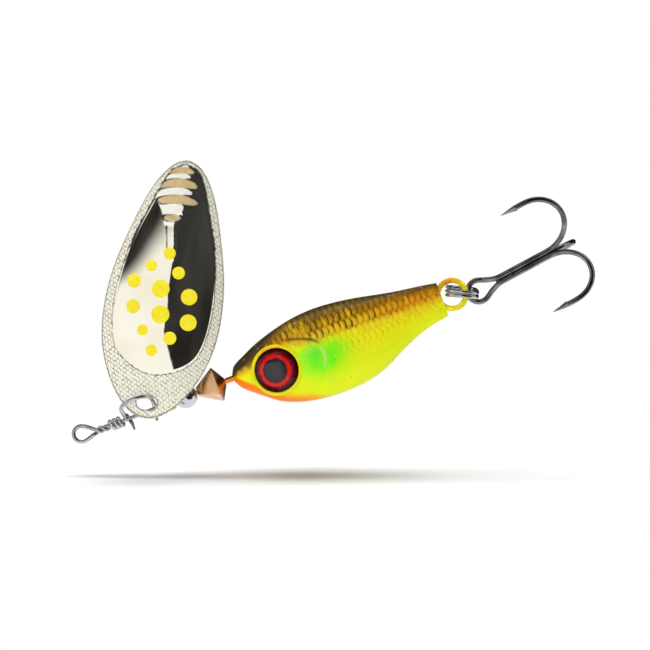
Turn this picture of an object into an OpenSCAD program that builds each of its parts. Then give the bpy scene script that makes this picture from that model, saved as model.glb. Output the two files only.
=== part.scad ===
// Inline spinner: a spinner blade on a wire clevis, beads, a cast fish body and a treble hook.
// Origin: on the shaft's line, at the middle of the line eye. +X runs along the shaft to the hook,
// +Z is the fish's back, and the fish's left side faces -Y. All sizes are in millimetres.

/* [Through wire] */
// Diameter of the stainless through wire
wire_d = 0.7; // [0.55:0.05:0.8]
// Outside height of the line eye's loop
line_eye_h = 3.5; // [3:0.1:5]
// Distance from the loop's centre to where its two strands meet
line_eye_neck = 2.9; // [2.6:0.1:5]
// Lean of the line eye, upwards from the shaft's line
line_eye_lean = 10; // [0:1:15]
// Length of the open twist behind the line eye
twist_l = 2.1; // [1.5:0.1:4]
// Turns of the tight wrap
wrap_turns = 2.75; // [1.75:1:5.75]

/* [Clevis] */
// Distance between the clevis's two legs
clevis_span = 5.6; // [4.8:0.1:7]
// Length of the straight legs, from the shaft's axis
clevis_leg = 4.4; // [4:0.1:6]
// Length of the clevis wire's cut ends, beyond their eyelets
cut_end_l = 1.2; // [0.6:0.1:1.4]
// Turn of the clevis about the shaft, from upright towards the fish's left
clevis_turn = 66; // [62:1:70]

/* [Blade] */
// Length of the blade
blade_l = 45.6; // [38:0.5:50]
// Greatest width of the blade
blade_w = 20.7; // [17:0.5:22]
// Sheet thickness of the blade
blade_t = 0.5; // [0.4:0.05:0.6]
// Depth of the blade's dish
blade_crown = 2.6; // [2:0.1:3]
// Width of the blade's hole, across the blade
hole_w = 3.6; // [3.4:0.1:4]
// Length of the blade's hole, along the blade
hole_l = 2.4; // [2.3:0.1:2.8]
// Metal between the hole and the blade's lower end
hole_edge = 1.55; // [1.4:0.05:2.2]
// Angle between the blade and the shaft at rest
blade_rest = 59; // [50:1:62]

/* [Beads] */
// Diameter of the bearing bead behind the clevis
bearing_d = 2.7; // [2:0.1:3]
// Length of the bearing bead
bearing_l = 2.9; // [2:0.1:4]
// Diameter of the steel ball
ball_d = 4.1; // [3.4:0.1:4.4]
// Corner to corner width of the faceted bead
faceted_w = 7.3; // [5:0.1:8]
// Length of the faceted bead's long front taper
faceted_front = 3.8; // [3:0.1:5]
// Length of its short rear taper
faceted_rear = 1.45; // [1:0.05:2.5]

/* [Fish body] */
// Length of the cast body, snout to tail
body_l = 39.15; // [34:0.5:44]
// Height of the back above the shaft
back_h = 6.3; // [5:0.1:7]
// Depth of the belly below the shaft
belly_h = 9.3; // [8:0.1:10]
// Thickness of the body
body_w = 8.8; // [8:0.1:10]
// Diameter of the lacquered stem ahead of the snout
stem_d = 1.0; // [0.95:0.05:1.2]
// Length of that stem
stem_l = 1.4; // [1:0.1:3]

/* [Eyes] */
// Diameter of the eyes
eye_d = 7.8; // [6:0.1:8]
// Width of the cast rim round each eye
eye_rim = 0.38; // [0.3:0.02:0.5]
// Height of the clear dome
eye_dome = 1.25; // [0.9:0.05:1.6]
// Distance of the eye's centre behind the snout
eye_back = 7.7; // [7.5:0.1:9]
// Distance of the eye's centre below the shaft
eye_drop = 1.4; // [1:0.1:2]
// Turn of each eye towards the snout
eye_turn = 8; // [0:1:12]

/* [Tail ring and split ring] */
// Outside diameter of the tail ring with its lacquer
tail_ring_d = 5.9; // [5.4:0.1:7]
// Lean of the tail ring, downwards from the shaft's line
tail_lean = 3; // [0:1:8]
// Thickness of the lacquer on the tail ring
lacquer_t = 0.14; // [0.08:0.02:0.16]
// Outside diameter of the split ring
split_ring_d = 6.0; // [5.8:0.1:7]
// Diameter of the split ring's wire
split_wire_d = 0.7; // [0.5:0.05:0.75]
// Pitch of the split ring below the shaft's line
split_pitch = 26; // [15:1:35]

/* [Treble hook] */
// Diameter of the hook wire
hook_wire_d = 0.95; // [0.8:0.05:1]
// Outside diameter of the hook's eye
hook_eye_d = 4.9; // [4.8:0.1:5.6]
// Distance from the hook's eye to the centre of its bends
shank_l = 13.9; // [12:0.5:18]
// Radius of the round bends
bend_r = 5.25; // [4:0.1:6]
// Length of each straight point leg
point_l = 4.5; // [3.5:0.1:6]
// Rise of the hook's shank above the shaft's line
hook_rise = 7; // [0:1:12]
// Turn of the hooks about their shank
hook_roll = 3; // [0:1:10]

/* [Hidden] */
$fn = 48;

steel = "silver";
black_nickel = [0.16, 0.16, 0.18];
run_gap = 0.05;           // radial clearance of what turns on the shaft
stack_gap = 0.1;          // axial play between stacked pieces
overlap = 0.01;           // how far joined solids reach into each other
tube_sides = 10;

// Stations along the shaft
wire_r = wire_d / 2;
loop_r = line_eye_h / 2 - wire_r;
wrap_r = wire_d + 0.04;
wrap_pitch = wire_d + 0.06;
wrap_x = line_eye_neck + twist_l + 0.45;
wrap_end = wrap_x + wrap_turns * wrap_pitch;
clevis_x = wrap_end + 2 * wire_r + run_gap;
clevis_rear_x = clevis_x + clevis_span;
bearing_x = clevis_rear_x + wire_r + stack_gap;
ball_x = bearing_x + bearing_l + stack_gap + ball_d / 2;
faceted_x = ball_x + ball_d / 2 + stack_gap;
faceted_l = faceted_front + faceted_rear;
stem_x = faceted_x + faceted_l + stack_gap;
snout_x = stem_x + stem_l;
tail_x = snout_x + body_l;
tail_wire_r = wire_r + lacquer_t;
tail_mid_r = tail_ring_d / 2 - tail_wire_r;
tail_ring_x = tail_x + tail_mid_r - tail_wire_r - 0.1;
tail_turn = asin((tail_ring_x - tail_x) / tail_mid_r);     // the ring runs round to the body's end
tail_neck_x = tail_ring_x - tail_mid_r / sin(tail_turn);

// ---- shared functions ----

function unit(v) = v / norm(v);

// Point p turned by an angle about a Y axis through the shaft's line at x
function turn_about(p, x, angle) =
    [x + (p.x - x) * cos(angle) + p.z * sin(angle), p.y, p.z * cos(angle) - (p.x - x) * sin(angle)];

// Index of the span of points that holds x
function span_of(points, x, i = 0) =
    i >= len(points) - 2 || x < points[i + 1][0] ? i : span_of(points, x, i + 1);

function slope_at(points, i) =
    let (a = max(i - 1, 0), b = min(i + 1, len(points) - 1))
    (points[b][1] - points[a][1]) / (points[b][0] - points[a][0]);

// Smooth curve through the points, read at x
function curve(points, x) =
    let (i = span_of(points, x), w = points[i + 1][0] - points[i][0], s = (x - points[i][0]) / w)
    points[i][1] * (2 * s ^ 3 - 3 * s ^ 2 + 1) + points[i + 1][1] * (3 * s ^ 2 - 2 * s ^ 3)
    + w * (slope_at(points, i) * (s ^ 3 - 2 * s ^ 2 + s) + slope_at(points, i + 1) * (s ^ 3 - s ^ 2));

// Faces of a closed skin over rings of equal count
function skin_faces(rings, sides) = concat(
    [[for (j = [0 : sides - 1]) j]],
    [for (i = [0 : rings - 2], j = [0 : sides - 1])
        let (a = i * sides + j, b = i * sides + (j + 1) % sides) [a, a + sides, b + sides, b]],
    [[for (j = [sides - 1 : -1 : 0]) (rings - 1) * sides + j]]
);

function flatten(lists) = [for (list = lists, item = list) item];

module skin(rings) {
    polyhedron(flatten(rings), skin_faces(len(rings), len(rings[0])), convexity = 6);
}

// Round wire of radius r along a path
module wire_along(path, r, seed = [0, 0, 1]) {
    last = len(path) - 1;
    ahead = [for (i = [0 : last]) unit(path[min(i + 1, last)] - path[max(i - 1, 0)])];
    side = [for (i = 0, s = unit(cross(ahead[0], seed)); i <= last;
        i = i + 1, s = i <= last ? unit(s - (s * ahead[i]) * ahead[i]) : s) s];
    skin([for (i = [0 : last]) [for (j = [0 : tube_sides - 1])
        let (a = 360 * j / tube_sides)
        path[i] + r * (cos(a) * side[i] + sin(a) * cross(ahead[i], side[i]))]]);
}

// Turns what follows by an angle about a Y axis through the shaft's line at x
module turned_about(x, angle) {
    translate([x, 0, 0]) rotate([0, angle, 0]) translate([-x, 0, 0]) children();
}

module along_x(x) {
    translate([x, 0, 0]) rotate([0, 90, 0]) children();
}

// A straight piece of wire that may run past its two points, into what it joins
module rod(from, to, r, start_past = 0, end_past = 0) {
    d = to - from;
    translate(from)
        rotate([0, acos(d.z / norm(d)), atan2(d.y, d.x)])
            translate([0, 0, -start_past]) cylinder(h = norm(d) + start_past + end_past, r = r);
}

// ---- through wire ----

// The loop's upper strand runs straight to the shaft, and the lower one is wrapped round it
neck_turn = asin(loop_r / line_eye_neck);
neck_start = loop_r * [sin(neck_turn), 0, cos(neck_turn)];
line_eye_pos = turn_about([0, 0, 0], line_eye_neck, line_eye_lean);
wrap_steps = 16;          // path points in one turn
wrap_from = 270;          // the lower strand starts below the shaft
twist_turns = 1.5;
twist_start = 1.6;
twist_r = wrap_r + 0.06;

function helix_point(x, r, turn) = [x, r * cos(turn), r * sin(turn)];
function twist_point(s) =
    helix_point(twist_start + (wrap_x - twist_start) * s, twist_r + (wrap_r - twist_r) * s,
        wrap_from + 360 * twist_turns * s ^ 1.2);
function wrap_point(s) =
    helix_point(wrap_x + wrap_pitch * s, wrap_r, wrap_from + 360 * (twist_turns + s));

wrap_path = concat(
    [turn_about([neck_start.x, 0, -neck_start.z], line_eye_neck, line_eye_lean)],
    [for (i = [0 : wrap_steps]) twist_point(i / wrap_steps)],
    [for (i = [1 : wrap_steps * wrap_turns]) wrap_point(i / wrap_steps)]
);

// Open loop of wire in the XZ plane round its own origin, with its mouth towards +X
module wire_loop(mid_r, mouth_turn) {
    rotate([90, 0, 0]) rotate([0, 0, 90 - mouth_turn])
        rotate_extrude(angle = 180 + 2 * mouth_turn)
            translate([mid_r, 0]) children();
}

leg_slim = 0.005;         // a leg is thinner by this, and ends just inside the wire that it joins
leg_r = wire_r - leg_slim;
leg_reach = 0.1;
knuckle_r = wire_r + 0.02;   // the wire is a little full where it is bent sharply

module through_wire() {
    color(steel) {
        turned_about(line_eye_neck, line_eye_lean) {
            wire_loop(loop_r, neck_turn) circle(wire_r);
            rod([line_eye_neck, 0, 0], neck_start, leg_r, end_past = leg_reach);
        }
        rod([line_eye_neck, 0, 0], [tail_neck_x, 0, 0], wire_r);
        for (x = [line_eye_neck, tail_neck_x]) along_x(x) sphere(knuckle_r);
        turned_about(tail_neck_x, tail_lean) {
            translate([tail_ring_x, 0, 0]) mirror([1, 0, 0]) wire_loop(tail_mid_r, tail_turn) circle(wire_r);
            for (way = [-1, 1])
                rod([tail_neck_x, 0, 0],
                    [tail_ring_x - tail_mid_r * sin(tail_turn), 0, way * tail_mid_r * cos(tail_turn)],
                    leg_r, end_past = leg_reach);
        }
    }
}

module wire_wrap() {
    color(steel) wire_along(wrap_path, wire_r, [0, 1, 0]);
}

module tail_ring_lacquer() {
    color("gold")
        turned_about(tail_neck_x, tail_lean) translate([tail_ring_x, 0, 0]) mirror([1, 0, 0])
            wire_loop(tail_mid_r, tail_turn)
                difference() {
                    circle(tail_wire_r);
                    circle(wire_r);
                }
}

// ---- clevis and blade ----

eyelet_r = wire_r + run_gap + wire_r;
bow_r = clevis_span / 2;
cut_end_r = wire_r * 0.75;               // the cut ends are nipped thin

module clevis() {
    color(steel)
        rotate([clevis_turn, 0, 0]) {
            for (x = [clevis_x, clevis_rear_x]) {
                along_x(x) rotate_extrude() translate([eyelet_r, 0]) circle(wire_r);
                translate([x, 0, eyelet_r]) cylinder(h = clevis_leg - eyelet_r, r = wire_r);
                rotate([180 - clevis_turn, 0, 0])
                    translate([x, 0, eyelet_r]) cylinder(h = cut_end_l, r = cut_end_r);
            }
            translate([clevis_x + bow_r, 0, clevis_leg - overlap]) rotate([90, 0, 0])
                rotate_extrude(angle = 180) translate([bow_r, 0]) circle(wire_r);
        }
}

// How full the blade's outline is against an ellipse, from its lower end to its tip
blade_fullness = [[-1, 0.98], [-0.5, 1.05], [0, 0.975], [0.5, 0.842], [1, 0.78]];
blade_low = -hole_edge - hole_l / 2;      // lower end of the blade, from the hole's centre
blade_mid = blade_low + blade_l / 2;
dish_mid = blade_low + blade_l * 0.45;
blade_sides = 64;
blade_rings = [0.03, 0.12, 0.24, 0.36, 0.48, 0.6, 0.7, 0.8, 0.88, 0.94, 0.98, 1];

function blade_edge(a) = [
    blade_mid + blade_l / 2 * cos(a),
    blade_w / 2 * sin(a) * curve(blade_fullness, cos(a))
];
function dish_h(f) = blade_crown * (1 - f ^ 2);
function blade_ring(f, h) = [for (i = [0 : blade_sides - 1])
    let (c = [dish_mid, 0], q = c + f * (blade_edge(-360 * i / blade_sides) - c))
    [q.x, q.y, dish_h(f) + h]];

hole_dish = dish_h(-dish_mid / (blade_low - dish_mid)) + blade_t / 2;   // height of the sheet at the hole
blade_back_y = -(ball_d / 2 + 0.3);      // the blade's rim lies just clear of the steel ball
hole_y = blade_back_y - hole_dish;
hole_z = -hole_y / tan(clevis_turn);
hole_play = [0.55, 0.92];                 // the clevis's leg in the hole: along and across the blade
hole_x = clevis_rear_x - hole_play[0] * cos(blade_rest) - hole_play[1] * sin(blade_rest);
hole_pos = [
    hole_x, hole_y + hole_dish,
    hole_z - hole_play[0] * sin(blade_rest) + hole_play[1] * cos(blade_rest)
];

module blade() {
    color("khaki")
        translate(hole_pos) rotate([0, -blade_rest, 0]) rotate([90, 0, 0])
            difference() {
                skin(concat(
                    [for (f = blade_rings) blade_ring(f, blade_t)],
                    [for (i = [len(blade_rings) - 1 : -1 : 0]) blade_ring(blade_rings[i], 0)]
                ));
                for (side = [-1, 1])
                    translate([0, side * (hole_w - hole_l) / 2, -1])
                        cylinder(h = blade_crown + 2, d = hole_l);
                translate([-hole_l / 2, -(hole_w - hole_l) / 2, -1])
                    cube([hole_l, hole_w - hole_l, blade_crown + 2]);
            }
}

// ---- beads ----

bore_r = wire_r + run_gap;

module bearing_bead() {
    corner = 0.4;
    color("goldenrod")
        along_x(bearing_x)
            rotate_extrude() {
                difference() {
                    union() {
                        translate([0, corner]) square([bearing_d / 2, bearing_l - 2 * corner]);
                        square([bearing_d / 2 - corner, bearing_l]);
                        for (y = [corner, bearing_l - corner])
                            translate([bearing_d / 2 - corner, y]) circle(corner);
                    }
                    translate([-bearing_d, -1]) square([bearing_d + bore_r, bearing_l + 2]);
                }
            }
}

module steel_ball() {
    color(steel)
        difference() {
            translate([ball_x, 0, 0]) sphere(d = ball_d);
            along_x(ball_x - ball_d) cylinder(h = 2 * ball_d, r = bore_r);
        }
}

module faceted_bead() {
    corner_turn = 28.3;      // turn of its corners from upright
    front_r = 0.95;
    rear_r = 0.7;
    color("peru")
        difference() {
            along_x(faceted_x) rotate([0, 0, corner_turn]) {
                cylinder(h = faceted_front, r1 = front_r, r2 = faceted_w / 2, $fn = 4);
                translate([0, 0, faceted_front])
                    cylinder(h = faceted_rear, r1 = faceted_w / 2, r2 = rear_r, $fn = 4);
            }
            along_x(faceted_x - 1) cylinder(h = faceted_l + 2, r = bore_r);
        }
}

// ---- fish body ----

stem_r = stem_d / 2;
// Height of the back, depth of the belly and half thickness, as shares of their greatest, snout to tail
back_form = [
    [0, stem_r / back_h], [0.02, 0.29], [0.07, 0.46], [0.17, 0.715], [0.32, 0.945],
    [0.45, 1], [0.6, 0.9], [0.8, 0.64], [0.93, 0.51], [1, 0.43]
];
belly_form = [
    [0, stem_r / belly_h], [0.02, 0.215], [0.07, 0.414], [0.17, 0.742], [0.3, 0.935],
    [0.47, 1], [0.63, 0.9], [0.8, 0.58], [0.9, 0.44], [1, 0.366]
];
flank_form = [
    [0, 2 * stem_r / body_w], [0.02, 0.32], [0.07, 0.54], [0.17, 0.84], [0.3, 0.98],
    [0.45, 1], [0.63, 0.84], [0.8, 0.52], [0.93, 0.31], [1, 0.215]
];
body_rings = 34;
body_sides = 32;
roundness = 2 / 2.2;      // exponent of the body's cross-section

function rounded(v) = sign(v) * abs(v) ^ roundness;
function body_ring(x, up, down, out) = [for (i = [0 : body_sides - 1])
    let (a = 360 * i / body_sides, z = rounded(sin(a)))
    [x, out * rounded(cos(a)), z * (z > 0 ? up : down)]];
function body_station(f) = body_ring(
    snout_x + body_l * f,
    back_h * curve(back_form, f), belly_h * curve(belly_form, f), body_w / 2 * curve(flank_form, f)
);

module fish_loft() {
    skin(concat(
        [body_ring(stem_x, stem_r, stem_r, stem_r)],
        [for (i = [0 : body_rings]) body_station((i / body_rings) ^ 1.4)]
    ));
}

// ---- eyes ----

eye_r = eye_d / 2;
rim_r = eye_r + eye_rim;
eye_seat = 3.25;          // distance of the eye's seat from the fish's middle
seat_deep = 0.35;
rim_root = 1.8;           // depth of the rim's root in the body
pocket_h = 3;
foil_t = 0.12;
eye_fit = 0.03;

// Places what follows at the left eye: its own +Z then points out of the fish
module at_eye() {
    translate([snout_x + eye_back, -eye_seat, -eye_drop])
        rotate([0, 0, -eye_turn]) rotate([90, 0, 0]) children();
}

module both_sides() {
    children();
    mirror([0, 1, 0]) children();
}

module fish_body() {
    color("yellowgreen")
        difference() {
            union() {
                fish_loft();
                both_sides() at_eye() translate([0, 0, -rim_root])
                    cylinder(h = rim_root + seat_deep, r = rim_r);
            }
            both_sides() at_eye() cylinder(h = pocket_h, r = eye_r + eye_fit);
        }
}

module eye_foil() {
    color("red") at_eye() cylinder(h = foil_t, r = eye_r);
}

module eye_cap() {
    sphere_r = (eye_r ^ 2 + eye_dome ^ 2) / (2 * eye_dome);
    color([0.9, 0.3, 0.25, 0.5])
        at_eye() translate([0, 0, foil_t])
            intersection() {
                translate([0, 0, eye_dome - sphere_r]) sphere(sphere_r, $fn = 96);
                cylinder(h = eye_dome + 1, r = eye_r);
            }
}

module left_eye_foil() { eye_foil(); }
module left_eye_dome() { eye_cap(); }
module right_eye_foil() { mirror([0, 1, 0]) eye_foil(); }
module right_eye_dome() { mirror([0, 1, 0]) eye_cap(); }

// ---- split ring ----

split_mid_r = (split_ring_d - split_wire_d) / 2;
split_steps = 36;
split_turns = 2;
coil_pitch = split_wire_d + 0.02;
split_reach = 1.82;       // distance of the split ring's centre behind the tail ring's centre
split_lean = 8;           // angle of that offset below the shaft's line
tail_ring_pos = turn_about([tail_ring_x, 0, 0], tail_neck_x, tail_lean);
split_pos = tail_ring_pos + split_reach * [cos(split_lean), 0, -sin(split_lean)];

// The ring's coils step over once a turn, near its rear
function coil_h(t) = coil_pitch * (floor(t) + min(max((t - floor(t) - 0.4) / 0.2, 0), 1) - split_turns / 2);

module split_ring() {
    color("darkgray")
        translate(split_pos) rotate([0, split_pitch, 0])
            wire_along([for (i = [0 : split_steps * split_turns])
                let (a = 190 + 360 * i / split_steps)
                [split_mid_r * cos(a), split_mid_r * sin(a), coil_h(i / split_steps)]],
                split_wire_d / 2);
}

// ---- treble hook ----

hook_r = hook_wire_d / 2;
hook_eye_r = hook_eye_d / 2 - hook_r;
hook_side = tail_wire_r + hook_r + 0.07;       // the hook's eye lies beside the tail ring
split_rear = split_pos + (sqrt(split_mid_r ^ 2 - hook_side ^ 2)) * [cos(split_pitch), 0, -sin(split_pitch)];
hook_pos = [split_rear.x + 0.62, hook_side, split_rear.z + 0.18];
bundle_r = 2 * hook_r / sqrt(3);               // three wires that touch each other
point_flare = 1;                               // the point legs lean out by this angle
braze_x = 2.4;                                 // start of the braze behind the eye's middle line
braze_l = 5;

module at_hook() {
    translate(hook_pos) rotate([0, -hook_rise, 0]) children();
}

// One wire from the braze to its point, turned about the shank; its plane holds +X and +Z
module hook_arm(turn, from_x) {
    straight_x = shank_l - 0.1;
    rotate([turn, 0, 0]) {
        translate([0, 0, bundle_r]) {
            along_x(from_x) cylinder(h = shank_l - from_x, r = hook_r);
            translate([shank_l, 0, bend_r]) rotate([90, 0, 0]) rotate([0, 0, -90])
                rotate_extrude(angle = 180) translate([bend_r, 0]) circle(hook_r);
            translate([shank_l, 0, 2 * bend_r]) rotate([0, -90 - point_flare, 0]) point_leg();
        }
    }
}

// Straight leg with a barb on its inner side and a slender ground point, along +Z
module point_leg() {
    barb_at = point_l * 0.42;
    translate([0, 0, -leg_reach]) cylinder(h = leg_reach + barb_at, r = hook_r - leg_slim);
    translate([0, 0, barb_at]) cylinder(h = point_l - barb_at, r1 = hook_r, r2 = 0.05);
    translate([-hook_r * 0.5, 0, barb_at + 0.75]) rotate([0, -158, 0])
        cylinder(h = 1.15, r1 = hook_r * 0.62, r2 = 0.06);
}

// Bent from one wire: two hooks and the eye
module hook_pair() {
    color(black_nickel)
        at_hook() {
            rotate([90, 0, 0]) rotate_extrude() translate([hook_eye_r, 0]) circle(hook_r);
            for (turn = [30, 150])
                hook_arm(turn - hook_roll, hook_eye_r + 0.9);
            for (way = [-1, 1])
                rod([hook_eye_r * 0.8, 0, way * hook_eye_r * 0.6],
                    [hook_eye_r + 1.2, -bundle_r / 2, way * hook_r * 1.02], hook_r, 0.25, 0.25);
        }
}

module hook_single() {
    color(black_nickel)
        at_hook() hook_arm(270 - hook_roll, hook_eye_r + 1.9);
}

module hook_braze() {
    color([0.1, 0.1, 0.11])
        at_hook() along_x(hook_eye_r + braze_x)
            cylinder(h = braze_l, r = hook_r * 0.45);
}

through_wire();
wire_wrap();
tail_ring_lacquer();
clevis();
blade();
bearing_bead();
steel_ball();
faceted_bead();
fish_body();
left_eye_foil();
left_eye_dome();
right_eye_foil();
right_eye_dome();
split_ring();
hook_pair();
hook_single();
hook_braze();
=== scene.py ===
"""Inline spinner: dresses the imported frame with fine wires, a stamped blade, a painted fish and a treble hook."""

import math

import bmesh
import bpy
import numpy as np
from mathutils import Matrix, Vector


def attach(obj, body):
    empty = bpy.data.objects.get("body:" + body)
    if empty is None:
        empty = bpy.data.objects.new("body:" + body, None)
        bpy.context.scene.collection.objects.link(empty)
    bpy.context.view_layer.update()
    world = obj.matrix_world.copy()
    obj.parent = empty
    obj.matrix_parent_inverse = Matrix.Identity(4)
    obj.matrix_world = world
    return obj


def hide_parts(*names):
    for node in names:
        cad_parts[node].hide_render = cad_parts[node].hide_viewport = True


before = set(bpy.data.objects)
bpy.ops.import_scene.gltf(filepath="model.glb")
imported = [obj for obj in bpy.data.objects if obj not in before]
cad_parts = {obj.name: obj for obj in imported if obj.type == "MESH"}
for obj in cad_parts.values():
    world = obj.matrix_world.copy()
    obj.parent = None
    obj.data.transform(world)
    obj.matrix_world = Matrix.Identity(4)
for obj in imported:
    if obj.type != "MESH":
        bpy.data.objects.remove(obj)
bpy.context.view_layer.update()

MM = 0.001

# ---- sizes in millimetres, as in the part's source ----
WIRE_R = 0.35
LOOP_R = 1.4                 # line eye, to the wire's middle
NECK_X = 2.9
EYE_LEAN = math.radians(10)
WRAP_X, WRAP_R, WRAP_PITCH, WRAP_TURNS = 5.45, 0.74, 0.76, 2.75
TWIST_TURNS = 1.5
CLEVIS_X, CLEVIS_REAR_X = 8.29, 13.89
CLEVIS_LEG = 4.4
CLEVIS_TURN = math.radians(66)
EYELET_R = 0.75
CUT_END = 1.2
HOLE = np.array([12.8181, -2.35, 1.4495])
BLADE_REST = math.radians(59)
BLADE_L, BLADE_W, BLADE_T, BLADE_CROWN = 45.59, 20.7, 0.5, 2.6
BLADE_LOW = -2.75
BLADE_FULLNESS = ((-1, 0.98), (-0.5, 1.05), (0, 0.975), (0.5, 0.842), (1, 0.78))
HOLE_W, HOLE_L = 3.6, 2.4
BORE_R = 0.4
BEARING_X, BEARING_L, BEARING_R = 14.34, 2.9, 1.35
BALL_X, BALL_R = 19.39, 2.05
BEAD_X, BEAD_FRONT, BEAD_REAR, BEAD_R = 21.54, 3.8, 1.45, 3.65
BEAD_TURN = math.radians(28.3)
STEM_X, SNOUT_X, BODY_L = 26.89, 28.29, 39.15
BACK_H, BELLY_H, BODY_W, STEM_R = 6.3, 9.3, 8.8, 0.5
EYE_R, RIM_R, EYE_SEAT, SEAT_DEEP = 3.9, 4.28, 3.25, 0.35
EYE_BACK, EYE_DROP, EYE_TURN = 7.7, 1.4, math.radians(8)
EYE_DOME, FOIL_T = 1.25, 0.12
TAIL_R, TAIL_WIRE_R, TAIL_RING_X, TAIL_NECK_X = 2.46, 0.49, 69.31, 66.0739
TAIL_LEAN = math.radians(3)
SPLIT_R, SPLIT_WIRE_R, SPLIT_PITCH = 2.65, 0.35, math.radians(26)
SPLIT_POS = np.array([71.1079, 0, -0.4227])
HOOK_POS = np.array([73.9205, 1.035, -1.3121])
HOOK_R, HOOK_EYE_R = 0.475, 1.975
SHANK_L, BEND_R, POINT_L = 13.9, 5.245, 4.5
HOOK_RISE, HOOK_ROLL = math.radians(7), 3


# ---- curves and meshes ----

def curve(points, x):
    """Smooth curve through the points, read at x."""
    px, py = np.array(points, float).T
    slope = np.empty_like(py)
    slope[1:-1] = (py[2:] - py[:-2]) / (px[2:] - px[:-2])
    slope[0] = (py[1] - py[0]) / (px[1] - px[0])
    slope[-1] = (py[-1] - py[-2]) / (px[-1] - px[-2])
    x = np.asarray(x, float)
    i = np.clip(np.searchsorted(px, x, side="right") - 1, 0, len(px) - 2)
    w = px[i + 1] - px[i]
    s = (x - px[i]) / w
    return (py[i] * (2 * s ** 3 - 3 * s ** 2 + 1) + py[i + 1] * (3 * s ** 2 - 2 * s ** 3)
            + w * (slope[i] * (s ** 3 - 2 * s ** 2 + s) + slope[i + 1] * (s ** 3 - s ** 2)))


def smoothstep(lo, hi, x):
    t = np.clip((np.asarray(x, float) - lo) / (hi - lo), 0, 1)
    return t * t * (3 - 2 * t)


def bell(x):
    return np.exp(-x ** 2)


def round_turn(sides):
    return np.linspace(0, 2 * math.pi, sides, endpoint=False)


def run_length(path):
    """Distance along a path at each of its points."""
    return np.concatenate([[0], np.cumsum(np.linalg.norm(np.diff(path, axis=0), axis=1))])


def resample(path, step):
    path = np.asarray(path, float)
    run = run_length(path)
    at = np.linspace(0, run[-1], max(int(round(run[-1] / step)), 8) + 1)
    return np.stack([np.interp(at, run, path[:, k]) for k in range(3)], 1)


def soften(path, reach, step=0.05):
    """Rounds a path's corners over about reach millimetres; its ends stay."""
    path = resample(path, step)
    half = max(int(reach / step / 2), 1)
    for _ in range(2):
        padded = np.vstack([2 * path[0] - path[half:0:-1], path, 2 * path[-1] - path[-2:-half - 2:-1]])
        total = np.cumsum(np.vstack([np.zeros((1, 3)), padded]), axis=0)
        path = (total[2 * half + 1:] - total[:-2 * half - 1]) / (2 * half + 1)
    return path


def turned(p, angle):
    """Points turned about the Y axis, +X towards +Z."""
    p = np.asarray(p, float)
    c, s = math.cos(angle), math.sin(angle)
    return np.stack([p[..., 0] * c - p[..., 2] * s, p[..., 1], p[..., 0] * s + p[..., 2] * c], -1)


def leaned(p, x, angle):
    """Points turned the other way, about the shaft's point at x."""
    at = np.array([x, 0.0, 0.0])
    return at + turned(p - at, -angle)


def frames(path, seed):
    """Unit vectors across a path, carried along it without twist."""
    ahead = np.gradient(path, axis=0)
    ahead /= np.linalg.norm(ahead, axis=1)[:, None]
    side = np.empty_like(path)
    s = np.cross(ahead[0], seed)
    for i, t in enumerate(ahead):
        s = s - s.dot(t) * t
        s = s / np.linalg.norm(s)
        side[i] = s
    return ahead, side, np.cross(ahead, side)


def new_object(name, verts, faces, material, sharp=None):
    """A closed mesh from millimetres, turned to face outwards."""
    mesh = bpy.data.meshes.new(name)
    mesh.from_pydata([tuple(v) for v in np.asarray(verts, float) * MM], [], faces)
    mesh.validate()
    shell = bmesh.new()
    shell.from_mesh(mesh)
    bmesh.ops.recalc_face_normals(shell, faces=shell.faces)
    shell.to_mesh(mesh)
    shell.free()
    mesh.update()
    obj = bpy.data.objects.new(name, mesh)
    bpy.context.scene.collection.objects.link(obj)
    mesh.materials.append(material)
    mesh.shade_smooth()
    if sharp is not None:
        mesh.set_sharp_from_angle(angle=math.radians(sharp))
    return obj


def attributes(obj, **fields):
    for name, values in fields.items():
        layer = obj.data.attributes.new(name, "FLOAT", "POINT")
        layer.data.foreach_set("value", np.asarray(values, np.float32))


def planar_uv(obj, uv):
    """A UV map in millimetres, one pair to a vertex."""
    layer = obj.data.uv_layers.new(name="mm")
    index = np.empty(len(obj.data.loops), np.int32)
    obj.data.loops.foreach_get("vertex_index", index)
    layer.data.foreach_set("uv", np.asarray(uv, np.float32)[index].ravel())


def ring_faces(rings, sides, close=False):
    faces = []
    for i in range(rings if close else rings - 1):
        k = (i + 1) % rings
        for j in range(sides):
            n = (j + 1) % sides
            faces.append((i * sides + j, k * sides + j, k * sides + n, i * sides + n))
    return faces


def end_faces(rings, sides):
    return [tuple(range(sides)), tuple(range(rings * sides - 1, (rings - 1) * sides - 1, -1))]


def tube(name, path, radius, material, sides=16, seed=(0, 0, 1)):
    """Round wire along a path in millimetres, with domed ends. radius is one number or one for each point."""
    radius = np.broadcast_to(np.asarray(radius, float), (len(path),))
    ahead, side, over = frames(path, np.array(seed, float))
    rows = [(path[i], radius[i], i) for i in range(len(path))]
    for a in (0.3, 0.6, 1.0, 1.35):
        rows.insert(0, (path[0] - ahead[0] * radius[0] * math.sin(a), radius[0] * math.cos(a), 0))
        rows.append((path[-1] + ahead[-1] * radius[-1] * math.sin(a), radius[-1] * math.cos(a), -1))
    cos, sin = np.cos(round_turn(sides))[:, None], np.sin(round_turn(sides))[:, None]
    verts = np.vstack([c + r * (cos * side[i] + sin * over[i]) for c, r, i in rows])
    return new_object(name, verts, ring_faces(len(rows), sides) + end_faces(len(rows), sides), material)


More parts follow.
